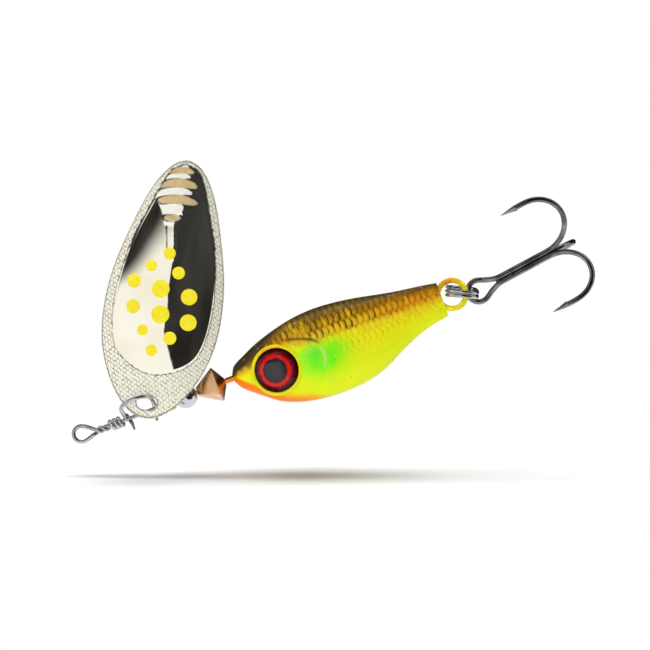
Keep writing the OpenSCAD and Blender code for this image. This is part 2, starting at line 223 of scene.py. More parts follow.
def lathe(name, profile, material, sides=64, sharp=40):
    """Turns a closed profile of (x, radius) points about the shaft."""
    verts = [(x, r * math.cos(t), r * math.sin(t)) for x, r in profile for t in round_turn(sides)]
    return new_object(name, verts, ring_faces(len(profile), sides, True), material, sharp=sharp)


# ---- materials ----

def srgb(r, g, b):
    """A display colour, 0 to 255, as linear RGBA."""
    return tuple(c / 3294.6 if c <= 10.3 else ((c / 255 + 0.055) / 1.055) ** 2.4 for c in (r, g, b)) + (1,)


class Nodes:
    """A node tree with short calls. Inputs are values or other nodes' sockets, by place or by name."""

    def __init__(self, owner):
        owner.use_nodes = True
        self.tree = owner.node_tree

    def add(self, kind, *inputs, named=None, **settings):
        node = self.tree.nodes.new("ShaderNode" + kind)
        for key, value in settings.items():
            setattr(node, key, value)
        for key, value in {**dict(enumerate(inputs)), **(named or {})}.items():
            self.plug(node.inputs[key], value)
        return node

    def plug(self, socket, value):
        if isinstance(value, bpy.types.NodeSocket):
            self.tree.links.new(value, socket)
        else:
            socket.default_value = value

    def math(self, operation, a, b=0.0, clamp=False):
        return self.add("Math", a, b, operation=operation, use_clamp=clamp).outputs[0]

    def mul(self, a, b):
        return self.math("MULTIPLY", a, b)

    def plus(self, a, b):
        return self.math("ADD", a, b)

    def minus(self, a, b):
        return self.math("SUBTRACT", a, b)

    def most(self, a, b):
        return self.math("MAXIMUM", a, b)

    def fade(self, value, lo, hi):
        return self.add("MapRange", value, lo, hi, interpolation_type="SMOOTHSTEP").outputs[0]

    def mixed(self, share, a, b):
        return self.add("MixShader", share, a, b).outputs[0]


class Paint(Nodes):
    """A Principled material, with coordinates in millimetres."""

    def __init__(self, name, **constants):
        self.material = bpy.data.materials.new(name)
        super().__init__(self.material)
        self.shader = self.tree.nodes["Principled BSDF"]
        for key, value in constants.items():
            self.shader.inputs[key.replace("_", " ")].default_value = value
        self.mm = self.add("VectorMath", self.add("TexCoord").outputs["Object"], operation="SCALE",
                           named={"Scale": 1 / MM}).outputs[0]

    def set(self, name, value):
        self.plug(self.shader.inputs[name], value)

    def ramp(self, fac, *stops, kind="EASE"):
        """A ramp from (place, display colour or number) stops."""
        node = self.add("ValToRGB", fac)
        node.color_ramp.interpolation = kind
        marks = node.color_ramp.elements
        while len(marks) < len(stops):
            marks.new(0.5)
        for mark, (place, colour) in zip(marks, stops):
            mark.position = place
            mark.color = srgb(*colour) if isinstance(colour, tuple) else (colour, colour, colour, 1)
        return node.outputs[0]

    def blend(self, fac, a, b):
        return self.add("Mix", data_type="RGBA", named={0: fac, 6: a, 7: b}).outputs[2]

    def noise(self, scale, detail=3.0, vector=None, rough=0.5):
        """Noise with about scale features to a millimetre."""
        return self.add("TexNoise", named={"Vector": vector or self.mm, "Scale": scale, "Detail": detail,
                                           "Roughness": rough}).outputs["Fac"]

    def sway(self, amount, *noise, **options):
        """Noise about zero."""
        return self.mul(self.minus(self.noise(*noise, **options), 0.5), amount)

    def drawn(self, vector, factors):
        return self.add("VectorMath", vector, factors, operation="MULTIPLY").outputs[0]

    def field(self, name):
        return self.add("Attribute", attribute_name=name).outputs["Fac"]

    def axes(self, vector=None):
        return self.add("SeparateXYZ", vector or self.mm).outputs

    def uv(self):
        return self.add("UVMap", uv_map="mm").outputs[0]

    def radius(self, x, y):
        return self.math("SQRT", self.plus(self.mul(x, x), self.mul(y, y)))

    def bump(self, height, depth, **normal):
        """Bump whose heights are in millimetres once multiplied by depth."""
        named = {"Strength": 1.0, "Distance": depth * MM, "Height": height, **normal}
        return self.add("Bump", named=named).outputs[0]

    def lacquered(self, scale, low, high, lumps, depth):
        """Uneven roughness between low and high, and a faintly lumpy surface."""
        self.set("Roughness", self.ramp(self.noise(scale, 4.0), (0.3, low), (0.8, high)))
        self.set("Normal", self.bump(self.noise(lumps, 3.0), depth))
        return self.material


# material, dark and light tone, roughness and its spread, size of the clouds and depth of the grain
METALS = {
    "steel": ("stainless_wire", (148, 147, 147), (206, 205, 205), 0.07, 0.05, 0.25, 0.0006),
    "split": ("stainless_ring", (160, 160, 158), (208, 208, 206), 0.07, 0.04, 0.2, 0.0006),
    "chrome": ("chrome_ball", (172, 173, 177), (212, 213, 217), 0.03, 0.06, 0.3, 0.001),
    "brass": ("brass_bead", (166, 124, 54), (214, 176, 92), 0.2, 0.14, 0.6, 0.004),
    "copper": ("copper_bead", (206, 150, 100), (236, 190, 142), 0.2, 0.1, 0.35, 0.002),
    "nickel": ("black_nickel", (96, 94, 93), (150, 147, 144), 0.09, 0.06, 0.35, 0.001),
    "braze": ("braze", (38, 34, 32), (82, 74, 66), 0.42, 0.2, 1.5, 0.02),
}
SMOOTHEST = 0.02


def metal(name, dark, light, rough, spread, grain, depth):
    """Metal with uneven tone, smudged roughness and a fine drawn or polished grain."""
    p = Paint(name, Metallic=1.0)
    clouds, fine = p.noise(grain, 4.0), p.noise(9.0, 5.0, rough=0.65)
    p.set("Base Color", p.ramp(clouds, (0.3, dark), (0.7, light)))
    wear = p.plus(p.mul(clouds, 0.6), p.mul(fine, 0.4))
    p.set("Roughness", p.ramp(wear, (0.3, max(rough - spread / 2, SMOOTHEST)), (0.75, rough + spread)))
    p.set("Normal", p.bump(fine, depth))
    return p.material


def make_materials():
    made = {key: metal(*values) for key, values in METALS.items()}
    made.update(plating=make_plating(), dot=make_dot_paint(), ring_lacquer=make_ring_lacquer(),
                fish=make_fish_paint(), rim=make_rim_paint(), foil=make_foil(), resin=make_resin())
    return made


# the knurl: how far its rows and its cross cuts lean, and their spacing in millimetres
ROW_LEAN, ROW_PITCH = 1.13, 0.62
BRICK_LEAN, BRICK_PITCH = -0.12, 0.66


def make_plating():
    """Pale gold plating: polished where raised, and cut with a fine diagonal knurl round its border; painted shade
    darkens the knurl's cuts and the dome's border, and the fan carries a painted tan reflection and painted white
    highlights.
    """
    p = Paint("plated_blade", Metallic=1.0)
    uv = p.uv()
    x, y, _ = p.axes(uv)
    ragged = p.plus(p.field("dome"), p.sway(0.35, 1.6, 3.0))
    knurled = p.ramp(ragged, (0.46, 1.0), (0.54, 0.0), kind="LINEAR")
    # cuts run aslant; between two of them shorter cuts are offset like bricks
    wobble = p.sway(0.3, 0.9, 2.0, uv)

    def slanted(lean, pitch):
        return p.plus(p.plus(p.mul(x, math.cos(lean) / pitch), p.mul(y, math.sin(lean) / pitch)), wobble)

    def cut(along, width):
        wave = p.math("ABSOLUTE", p.minus(p.math("FRACT", along), 0.5))
        return p.ramp(wave, (0.02, 0.0), (width, 1.0))

    rows = slanted(ROW_LEAN, ROW_PITCH)
    bricks = p.plus(slanted(BRICK_LEAN, BRICK_PITCH), p.mul(p.math("FLOOR", p.plus(rows, 0.5)), 0.5))
    pattern = p.mul(cut(rows, 0.13), cut(bricks, 0.11))
    faint = p.ramp(p.noise(1.6, 4.0, uv), (0.38, 0.0), (0.62, 0.62))
    pattern = p.plus(pattern, p.mul(faint, p.minus(1.0, pattern)))
    depth = p.minus(1.0, p.mul(knurled, p.minus(1.0, pattern)))
    gold = p.ramp(p.noise(0.12, 2.0), (0.3, (244, 238, 216)), (0.7, (252, 248, 232)))
    # painted shade: the knurl's cuts are coloured dark, its uncut tops pale gold
    cut_gold = p.ramp(pattern, (0.0, (112, 102, 68)), (0.5, (222, 214, 182)), (0.9, (255, 252, 236)))
    # painted reflection: the fan's flat step faces are tinted tan
    tread, riser = p.field("tread"), p.field("riser")
    tan = p.ramp(p.noise(0.6, 3.0), (0.3, (206, 176, 118)), (0.7, (224, 198, 146)))
    # painted highlight: the fan's rising step faces are near-white
    colour = p.blend(riser, p.blend(tread, p.blend(knurled, gold, cut_gold), tan), srgb(250, 248, 238))
    # painted shade: darker where the dome rises out of the border, and just inside the sheet's edges
    seam = p.ramp(ragged, (0.40, 0.0), (0.49, 0.8), (0.53, 0.8), (0.57, 0.0))
    dark = p.most(p.mul(seam, p.ramp(p.noise(1.1, 3.0, uv), (0.35, 0.35), (0.6, 1.0))), p.mul(p.field("lip"), 0.75))
    p.set("Base Color", p.blend(dark, colour, srgb(70, 62, 38)))
    satin = p.most(p.mul(tread, 0.75), p.mul(riser, 0.8))
    matt = p.math("MAXIMUM", p.mul(knurled, 0.68), satin, clamp=True)
    p.set("Metallic", p.minus(1.0, matt))
    smudge = p.noise(2.5, 5.0, rough=0.6)
    polished = p.ramp(smudge, (0.35, 0.02), (0.75, 0.06))
    p.set("Roughness", p.blend(p.most(knurled, satin), polished, (0.4, 0.4, 0.4, 1)))
    p.set("Normal", p.bump(smudge, 0.0008, Normal=p.bump(depth, 0.07)))
    return p.material


def make_dot_paint():
    p = Paint("yellow_dots", Specular_IOR_Level=0.25)
    p.set("Base Color", p.ramp(p.noise(0.9, 3.0), (0.3, (250, 230, 20)), (0.75, (255, 240, 40))))
    return p.lacquered(6.0, 0.28, 0.42, 3.0, 0.004)


def make_ring_lacquer():
    p = Paint("ring_lacquer", Coat_Weight=0.3, Coat_Roughness=0.08, Specular_IOR_Level=0.15)
    brown = p.ramp(p.plus(p.mul(p.axes()[2], 0.22), p.mul(p.noise(1.2, 4.0), 0.3)), (0.34, 0.0), (0.66, 1.0))
    yellow = p.ramp(p.noise(0.8, 3.0), (0.3, (226, 206, 4)), (0.7, (246, 232, 20)))
    p.set("Base Color", p.blend(brown, yellow, srgb(206, 150, 10)))
    return p.lacquered(5.0, 0.26, 0.44, 1.2, 0.006)


def make_fish_paint():
    """Airbrushed lacquer: dark back, gold scales, yellow flank, orange throat, green cheek, silver flecks; a
    painted shade line and a painted pale highlight along the gill cover's edge.
    """
    p = Paint("fish_lacquer", Coat_Weight=0.22, Coat_Roughness=0.08, Specular_IOR_Level=0.12)
    tone = p.plus(p.field("tone"), p.sway(0.16, 0.55, 5.0, rough=0.6))
    edge = p.field("scale_edge")
    flank = p.ramp(tone, (0.0, (226, 236, 6)), (0.30, (238, 236, 4)), (0.42, (232, 214, 8)),
                   (0.52, (212, 170, 12)), (0.66, (180, 130, 8)), (0.80, (132, 94, 10)),
                   (0.93, (72, 56, 16)), (1.0, (54, 44, 20)), kind="LINEAR")
    # uneven brushing, drawn out down the flank
    brushed = p.noise(1.0, 3.0, p.drawn(p.mm, (1.5, 0.4, 0.3)))
    gold = p.ramp(tone, (0.42, 0.0), (0.54, 1.0), (0.8, 1.0), (0.92, 0.0))
    dark_stroke = p.mul(edge, p.ramp(tone, (0.40, 0.0), (0.54, 1.0), (0.8, 0.9), (0.92, 0.1)))
    dark_stroke = p.mul(dark_stroke, p.ramp(brushed, (0.36, 0.45), (0.58, 1.0)))
    rib = p.mul(edge, p.ramp(tone, (0.08, 0.0), (0.28, 0.55), (0.44, 0.3), (0.52, 0.0)))
    pale_stroke = p.mul(p.field("scale_face"), p.ramp(tone, (0.0, 0.0), (0.25, 0.45), (0.6, 0.4), (0.8, 0.05)))
    rust = p.mul(p.field("rust"), p.ramp(p.noise(0.8, 4.0), (0.35, 0.2), (0.65, 1.0)))
    green = p.mul(p.field("green"), p.ramp(p.noise(0.5, 4.0), (0.3, 0.8), (0.65, 1.0)))
    for share, colour in (
            (p.mul(gold, p.ramp(brushed, (0.5, 0.0), (0.66, 0.55))), (100, 66, 6)),
            (p.mul(gold, p.ramp(brushed, (0.34, 0.45), (0.46, 0.0))), (232, 196, 16)),
            (dark_stroke, (40, 24, 2)), (rib, (202, 178, 0)), (pale_stroke, (246, 214, 30)), (rust, (218, 130, 6)),
            (green, (104, 242, 4)), (p.field("teal"), (60, 212, 84)), (p.field("orange"), (255, 128, 6)),
            # the gill cover's edge: a painted shade line, then a pale painted highlight
            (p.field("gill_line"), (84, 66, 20)), (p.field("gill_edge"), (206, 240, 120))):
        flank = p.blend(share, flank, srgb(*colour))
    # sparse flecks of foil in the clear coat, most of them bright and a few dark
    cells = p.add("TexVoronoi", named={"Scale": 1.05, "Vector": p.mm}).outputs
    pick = p.add("SeparateColor", cells["Color"]).outputs
    near = p.ramp(cells["Distance"], (0.07, 1.0), (0.12, 0.0), kind="LINEAR")
    fleck = p.mul(near, p.math("GREATER_THAN", pick["Red"], 0.5))
    fleck_colour = p.ramp(pick["Green"], (0.68, (226, 230, 196)), (0.74, (70, 62, 40)), kind="LINEAR")
    p.set("Base Color", p.blend(fleck, flank, fleck_colour))
    p.set("Metallic", p.plus(p.mul(fleck, 0.7), 0.06))
    return p.lacquered(4.0, 0.3, 0.46, 1.1, 0.025)


def make_rim_paint():
    p = Paint("eye_rim", Coat_Weight=0.25, Coat_Roughness=0.08, Specular_IOR_Level=0.12)
    high = p.math("ADD", p.mul(p.axes()[2], 0.1), p.mul(p.noise(0.7, 3.0), 0.2), clamp=True)
    p.set("Base Color", p.ramp(high, (0.0, (226, 220, 10)), (0.25, (238, 216, 10)),
                               (0.45, (218, 176, 14))))
    return p.lacquered(4.0, 0.28, 0.42, 2.0, 0.01)


FOIL_REACH = 4.2             # the foil's rings are given as shares of this
PUPIL_SHIFT = 0.22           # the pupil sits a little towards the snout


def make_foil():
    """Printed foil disc: grey-black pupil, bright red ring with a ragged edge, maroon band with fine streaks of
    painted red highlight.
    """
    p = Paint("eye_foil", Specular_IOR_Level=0.1)
    uv = p.uv()
    x, y, _ = p.axes(uv)
    radius = p.radius(p.plus(x, PUPIL_SHIFT), y)
    ragged = p.plus(radius, p.sway(0.5, 0.9, 2.0, uv))
    streaks = p.noise(1.0, 3.0, p.drawn(uv, (0.5, 5.0, 1.0)))
    rings = p.ramp(p.math("DIVIDE", ragged, FOIL_REACH), (0.0, (46, 46, 50)), (0.36, (36, 36, 40)),
                   (0.475, (12, 8, 8)), (0.505, (184, 0, 2)), (0.60, (214, 0, 2)),
                   (0.665, (120, 0, 4)), (0.78, (70, 0, 6)), (0.92, (26, 0, 4)), kind="LINEAR")
    share = p.math("DIVIDE", radius, FOIL_REACH)
    # painted highlight: bright red streaks across the maroon band
    glow = p.mul(p.ramp(streaks, (0.48, 0.0), (0.70, 0.35)), p.ramp(share, (0.52, 0.0), (0.62, 1.0)))
    p.set("Base Color", p.blend(glow, rings, srgb(214, 16, 20)))
    p.set("Metallic", p.mul(p.ramp(share, (0.5, 0.0), (0.6, 1.0)), 0.05))
    p.set("Roughness", p.ramp(streaks, (0.3, 0.22), (0.7, 0.4)))
    return p.material


def make_resin():
    """Resin, clear in the middle and tinted towards the rim."""
    p = Paint("eye_resin", IOR=1.3, Transmission_Weight=1.0, Specular_IOR_Level=0.08)
    x, y, _ = p.axes(p.uv())
    share = p.math("DIVIDE", p.radius(x, y), EYE_R)
    p.set("Base Color", p.ramp(share, (0.66, (255, 251, 250)), (0.84, (196, 110, 116)),
                               (0.97, (96, 18, 26))))
    p.set("Roughness", p.ramp(p.noise(2.0, 3.0), (0.3, 0.0), (0.8, 0.03)))
    p.set("Normal", p.bump(p.noise(0.5, 2.0), 0.004))
    return p.material


# ---- wires ----

TWIST_FROM = 2.35            # where the strands behind the line eye start to twist
STRAND_GAP = 0.36            # the twisted strands' distance from the shaft's line
# where the upper strand bends in to the shaft's line, and the lower one out to the wrap
SHAFT_FROM, WRAP_FROM = 3.9, 4.2


def helix(x, r, turn):
    return np.stack([x, r * np.cos(turn), r * np.sin(turn)], -1)


def upright_arc(x, r, turn):
    return np.stack([x + r * np.cos(turn), 0 * turn, r * np.sin(turn)], -1)


def make_line_wire(material):
    """One wire: out of the fish along the shaft, up into the line eye, back down, twisted and wrapped."""
    neck = math.asin(LOOP_R / NECK_X)
    x = np.linspace(0.7, WRAP_X, 90)
    phase = 2 * math.pi * TWIST_TURNS * np.clip((x - TWIST_FROM) / (WRAP_X - TWIST_FROM), 0, 1) ** 1.15
    open_r = LOOP_R * math.cos(neck)
    close = open_r + (STRAND_GAP - open_r) * smoothstep(0.5, 2.75, x)
    shaft_r = np.where(x < SHAFT_FROM, close, close * (1 - smoothstep(SHAFT_FROM, WRAP_X, x)))
    wrap_r = np.where(x < WRAP_FROM, close, close + (WRAP_R - close) * smoothstep(WRAP_FROM, WRAP_X, x))
    upper = helix(x, shaft_r, math.pi / 2 + phase)
    lower = helix(x, wrap_r, 3 * math.pi / 2 + phase)
    lean = smoothstep(NECK_X + 0.6, NECK_X - 1.2, x)[:, None]
    upper, lower = (strand + (leaned(strand, NECK_X, EYE_LEAN) - strand) * lean for strand in (upper, lower))
    turn = np.linspace(math.pi / 2 - neck, 3 * math.pi / 2 + neck, 60)
    loop = leaned(upright_arc(0, LOOP_R, turn), NECK_X, EYE_LEAN)
    s = np.linspace(0, WRAP_TURNS, 140)[1:]
    wrap = helix(WRAP_X + WRAP_PITCH * s, WRAP_R, 3 * math.pi / 2 + 2 * math.pi * (TWIST_TURNS + s))
    shaft = np.array([[SNOUT_X + 3, 0, 0], [WRAP_X + 0.3, 0, 0]])
    head = soften(np.vstack([shaft, upper[::-1], loop[1:-1], lower]), 0.5)
    wire = tube("line_wire", resample(np.vstack([head, wrap]), 0.09), WIRE_R, material, seed=(0, 1, 0))
    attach(wire, "lure")
    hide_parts("through_wire", "wire_wrap")


def make_tail_ring(material):
    """The wire's rear loop in its coat of lacquer."""
    open_turn = math.asin(TAIL_R / (TAIL_RING_X - TAIL_NECK_X))
    turn = np.linspace(-math.pi / 2 - open_turn, math.pi / 2 + open_turn, 80)
    neck = np.array([[TAIL_NECK_X, 0, 0]])
    path = resample(np.vstack([neck, upright_arc(TAIL_RING_X, TAIL_R, turn), neck]), 0.14)
    path = leaned(path, TAIL_NECK_X, TAIL_LEAN)
    at = np.arange(len(path))
    lumps = 1 - 0.02 * (1 + np.sin(at * 0.37) * np.sin(at * 0.11 + 1))
    ring = tube("tail_ring", path, TAIL_WIRE_R * lumps, material, 20, seed=(0, 1, 0))
    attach(ring, "lure")
    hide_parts("tail_ring_lacquer")


COIL_RUN = 0.66              # how far along the shaft an eyelet's coil runs
CLEVIS_SLACK = 0.003         # the clevis's wire is thinner by this, to stay in the CAD box
CLEVIS_STEP, CUT_SHARE = 0.1, 0.72    # the path's step, and the wire's share of thickness at a cut end


def make_clevis(material):
    """One wire: a cut end, a turn round the shaft, a leg, the bow, and the same again."""
    def about_shaft(x, r, turn):
        """turn 0 is the legs' direction."""
        a = CLEVIS_TURN + turn
        return np.stack([x + 0 * a, -r * np.sin(a), r * np.cos(a)], -1)

    down = math.pi - CLEVIS_TURN
    reach = (CLEVIS_REAR_X - CLEVIS_X) / 2

    def eyelet(x, way):
        """From the cut end's tip round the shaft to the leg's foot."""
        left = np.linspace(1, 0, 40)
        coil = about_shaft(x + way * COIL_RUN * left, EYELET_R, -(2 * math.pi - down) * left)
        tip = about_shaft(np.full(2, x + way * COIL_RUN), EYELET_R + np.array([CUT_END, 0.3]), np.full(2, down))
        return np.vstack([tip, coil])

    s = np.linspace(0, math.pi, 50)
    bow = about_shaft(CLEVIS_X + reach - reach * np.cos(s), CLEVIS_LEG + reach * np.sin(s), 0 * s)
    path = np.vstack([eyelet(CLEVIS_X, 1), bow, eyelet(CLEVIS_REAR_X, -1)[::-1]])
    path = resample(soften(path, 0.45), CLEVIS_STEP)
    at = np.arange(len(path))
    ends = np.minimum(at, at[::-1]) * CLEVIS_STEP
    radius = (WIRE_R - CLEVIS_SLACK) * (CUT_SHARE + (1 - CUT_SHARE) * smoothstep(0.2, 1.3, ends))
    wire = tube("clevis_wire", path, radius, material, 18)
    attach(wire, "clevis")
    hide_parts("clevis")


SPLIT_STEP = 0.72            # between the two coils' middles
SPLIT_SLACK = 0.015          # the ring's wire is thinner by this, to clear the hook


def make_split_ring(material):
    """Two turns, with a step from one to the other."""
    t = np.linspace(0, 2, 190)
    a = np.radians(190 + 360 * t)
    part = t - np.floor(t)
    h = SPLIT_STEP * (np.floor(t) + smoothstep(0.4, 0.6, part) - 1)
    path = SPLIT_POS + turned(np.stack([SPLIT_R * np.cos(a), SPLIT_R * np.sin(a), h], -1), -SPLIT_PITCH)
    ring = tube("split_ring_wire", path, SPLIT_WIRE_R - SPLIT_SLACK, material, 24)
    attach(ring, "split_ring")
    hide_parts("split_ring")


# ---- hooks ----

BUNDLE_R = 2 * HOOK_R / math.sqrt(3)
POINT_RISE = BUNDLE_R + 2 * BEND_R
HOOK_STEP, HOOK_SOFT = 0.14, 1.3
# along the shank: where the pair's and the third hook's straight parts start, and the braze's two ends
PAIR_START, THIRD_START, BRAZE_START, BRAZE_END = (HOOK_EYE_R + d for d in (1.7, 1.9, 2.2, 7.6))


def hook_world(local):
    """Hook frame, with its eye at the origin and its shank along +X, to the row frame."""
    return HOOK_POS + turned(local, HOOK_RISE)


def hook_plane(flat, turn):
    """Points (along the shank, out from it) in the plane of the hook at a turn in degrees."""
    t = math.radians(turn)
    return np.stack([flat[:, 0], -math.sin(t) * flat[:, 1], math.cos(t) * flat[:, 1]], -1)


def hook_arm(turn, start_x):
    """Path of one hook in its frame."""
    a = np.linspace(-math.pi / 2, math.pi / 2, 60)[1:-1]
    bend = np.stack([SHANK_L + BEND_R * np.cos(a), BUNDLE_R + BEND_R + BEND_R * np.sin(a)], -1)
    return hook_plane(np.vstack([[start_x, BUNDLE_R], [SHANK_L, BUNDLE_R], bend, [SHANK_L, POINT_RISE],
                                 [SHANK_L - POINT_L, POINT_RISE - 0.05]]), turn)


def point_radius(path, both=False):
    """Wire radius along a hook's path, ground down to its point."""
    run = run_length(path)

    def taper(left):
        return HOOK_R * np.clip(0.06 + 0.94 * (left / (POINT_L * 0.62)) ** 0.8, 0, 1)

    radius = taper(run[-1] - run)
    return np.minimum(radius, taper(run)) if both else radius


def make_barb(name, turn, material):
    """A sliver of wire raised by a cut, on the inner side of the point."""
    # along from the barb's root, down from the point's middle in wire radii, and radius
    along, down, radius = np.array([(-1.25, 0.45, 0.12), (-0.75, 0.62, 0.19), (-0.2, 0.95, 0.16),
                                    (0.22, 1.42, 0.035)]).T
    flat = np.stack([SHANK_L - POINT_L * 0.40 + along, POINT_RISE - HOOK_R * down], -1)
    path = hook_plane(flat, turn)
    run, fine = np.linspace(0, 1, len(path)), np.linspace(0, 1, 14)
    path = np.stack([np.interp(fine, run, path[:, k]) for k in range(3)], -1)
    barb = tube(name, hook_world(path), np.interp(fine, run, radius), material, 12, seed=(1, 0, 0.3))
    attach(barb, "treble_hook")


def make_hooks(materials):
    nickel = materials["nickel"]
    upper, lower, far = 30 - HOOK_ROLL, 150 - HOOK_ROLL, 270 - HOOK_ROLL
    # the pair is one wire: point, bend, shank, eye, shank, bend, point
    eye = upright_arc(0, HOOK_EYE_R, np.linspace(math.radians(42), math.radians(318), 60))
    path = np.vstack([hook_arm(upper, PAIR_START)[::-1], eye, hook_arm(lower, PAIR_START)])
    path = hook_world(resample(soften(path, HOOK_SOFT), HOOK_STEP))
    pair = tube("hook_pair_wire", path, point_radius(path, True), nickel, 18, seed=(0, 1, 0))
    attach(pair, "treble_hook")
    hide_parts("hook_pair")
    path = hook_world(resample(soften(hook_arm(far, THIRD_START), HOOK_SOFT), HOOK_STEP))
    single = tube("hook_single_wire", path, point_radius(path), nickel, 18)
    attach(single, "treble_hook")
    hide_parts("hook_single")
    for name, turn in (("upper_barb", upper), ("lower_barb", lower), ("far_barb", far)):
        make_barb(name, turn, nickel)
    x = np.linspace(BRAZE_START, BRAZE_END, 60)
    swell = 0.34 * smoothstep(0, 0.8, x - x[0]) * smoothstep(0, 0.8, x[-1] - x)
    swell = 0.08 + swell * (1 + 0.08 * np.sin(x * 5.1) + 0.06 * np.sin(x * 11.3))
    path = hook_world(np.stack([x, 0 * x, 0 * x], -1))
    braze = tube("braze_fillet", path, swell, materials["braze"], 18)
    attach(braze, "treble_hook")
    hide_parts("hook_braze")


# ---- beads ----

def make_ball(material):
    start = math.asin(BORE_R / BALL_R)
    ball = [(BALL_X + BALL_R * math.cos(t), BALL_R * math.sin(t)) for t in np.linspace(math.pi - start, start, 60)]
    bore = [(BALL_X + BALL_R * math.cos(t), BORE_R) for t in (start * 1.02, math.pi - start * 1.02)]
    obj = lathe("chrome_ball", ball + bore, material, sides=96)
    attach(obj, "steel_ball")
    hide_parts("steel_ball")


def make_bearing(material):
    corner, chamfer, x0, x1 = 0.35, 0.06, BEARING_X, BEARING_X + BEARING_L
    q = np.linspace(0, math.pi / 2, 8)
    edge = [(corner * (1 - math.sin(t)), BEARING_R - corner * (1 - math.cos(t))) for t in q]
    grooves = [(x0 + BEARING_L * f, BEARING_R - 0.07 * d) for f, d in
               ((0.3, 0), (0.34, 0.8), (0.38, 0), (0.62, 0), (0.66, 0.8), (0.7, 0))]
    profile = ([(x0 + dx, r) for dx, r in edge[::-1]] + grooves + [(x1 - dx, r) for dx, r in edge]
               + [(x1, BORE_R + chamfer), (x1 - chamfer, BORE_R), (x0 + chamfer, BORE_R), (x0, BORE_R + chamfer)])
    obj = lathe("brass_bearing", profile, material, sharp=50)
    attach(obj, "bearing_bead")
    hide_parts("bearing_bead")


def make_faceted_bead(material):
    """Four long facets in front and four short ones behind, with softened edges."""
    def square(r, soft):
        """A square's outline, its corners rounded over soft millimetres."""
        turns = BEAD_TURN + np.arange(4) * math.pi / 2
        corners = r * np.stack([np.cos(turns), np.sin(turns)], -1)
        cut = soft / (r * math.sqrt(2))
        pts = []
        for before, here, after in zip(np.roll(corners, 1, 0), corners, np.roll(corners, -1, 0)):
            a, b = here + (before - here) * cut, here + (after - here) * cut
            pts += [a + (b - a) * f + (here - (a + b) / 2) * 2 * f * (1 - f) for f in np.linspace(0, 1, 4)]
            end = after + (here - after) * cut
            pts += [b + (end - b) * f for f in np.linspace(0, 1, 9)[1:-1]]
        return np.array(pts)

    length = BEAD_FRONT + BEAD_REAR
    stations = [(0, 0.9, 0.05), (0.06, 0.98, 0.1), (BEAD_FRONT * 0.5, 2.3, 0.12),
                (BEAD_FRONT - 0.1, BEAD_R - 0.1, 0.12), (BEAD_FRONT, BEAD_R - 0.04, 0.12),
                (BEAD_FRONT + 0.05, BEAD_R - 0.13, 0.12), (length - 0.05, 0.83, 0.1), (length, 0.7, 0.05)]
    rings = []
    for x, r, soft in stations:
        p = square(r, soft)
        rings.append(np.stack([np.full(len(p), BEAD_X + x), p[:, 1], -p[:, 0]], -1))
    outline = rings[0][:, 1:]
    round_bore = BORE_R * outline / np.linalg.norm(outline, axis=1)[:, None]
    rings += [np.column_stack([np.full(len(outline), BEAD_X + x), round_bore]) for x in (length, 0)]
    obj = new_object("copper_facets", np.vstack(rings), ring_faces(len(rings), len(outline), True), material,
                     sharp=34)
    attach(obj, "faceted_bead")
    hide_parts("faceted_bead")


# ---- blade ----

BLADE_MID = BLADE_LOW + BLADE_L / 2
DISH_MID = BLADE_LOW + BLADE_L * 0.45
BORDER_DROP = 0.16           # the border lies this much below the dome
DOME_EDGE = ((5.0, 0), (5.35, 2.0), (6.2, 4.1), (7.8, 6.3), (9.8, 7.6), (13, 8.35), (18, 8.6), (23, 8.2),
             (29, 7.0), (34, 5.35), (38, 3.9), (40.6, 2.7), (41.8, 1.1), (42.05, 0))
DOTS = ((26.3, -0.4, 1.07), (23.7, -3.2, 0.98), (23.2, 1.7, 1.1), (20.6, -5.7, 1.22), (20.0, -0.9, 1.56),
        (19.4, 4.2, 1.42), (16.2, -5.1, 1.22), (15.6, -0.2, 1.58), (15.0, 4.8, 1.45), (12.4, -2.8, 0.98),
        (11.8, 2.1, 1.14), (9.2, -0.7, 1.01))
DOT_LIFT, DOT_SINK = 0.035, 0.03
# how far the sheet's edges are rounded, how far its rear lies inside the CAD's, and its least thickness
EDGE_ROUND, REAR_INSET, THINNEST = 0.07, 0.08, 0.22
EDGE_TURN = np.linspace(0, 2 * math.pi, 1441)[:-1]
EDGE = np.stack([BLADE_MID + BLADE_L / 2 * np.cos(EDGE_TURN),
                 BLADE_W / 2 * np.sin(EDGE_TURN) * curve(BLADE_FULLNESS, np.cos(EDGE_TURN))], -1)


def dish_fraction(u, v):
    """0 at the dish's middle, 1 at the blade's edge."""
    rel = EDGE - np.array([DISH_MID, 0])
    ang = np.unwrap(np.arctan2(rel[:, 1], rel[:, 0]))
    order = np.argsort(ang)
    reach = np.linalg.norm(rel, axis=1)[order]
    return np.hypot(u - DISH_MID, v) / np.interp(np.arctan2(v, u - DISH_MID), ang[order], reach, period=2 * math.pi)


def closed_outline(half):
    """A fine closed outline through points (u, half width), mirrored."""
    pts = np.array(list(half) + [(u, -v) for u, v in half[-2:0:-1]], float)
    p0, p1, p2, p3 = (np.roll(pts, -k, 0)[:, None] for k in (-1, 0, 1, 2))
    s = np.linspace(0, 1, 14, endpoint=False)[:, None]
    fine = 0.5 * (2 * p1 + (p2 - p0) * s + (2 * p0 - 5 * p1 + 4 * p2 - p3) * s ** 2
                  + (3 * p1 - p0 - 3 * p2 + p3) * s ** 3)
    return fine.reshape(-1, 2)


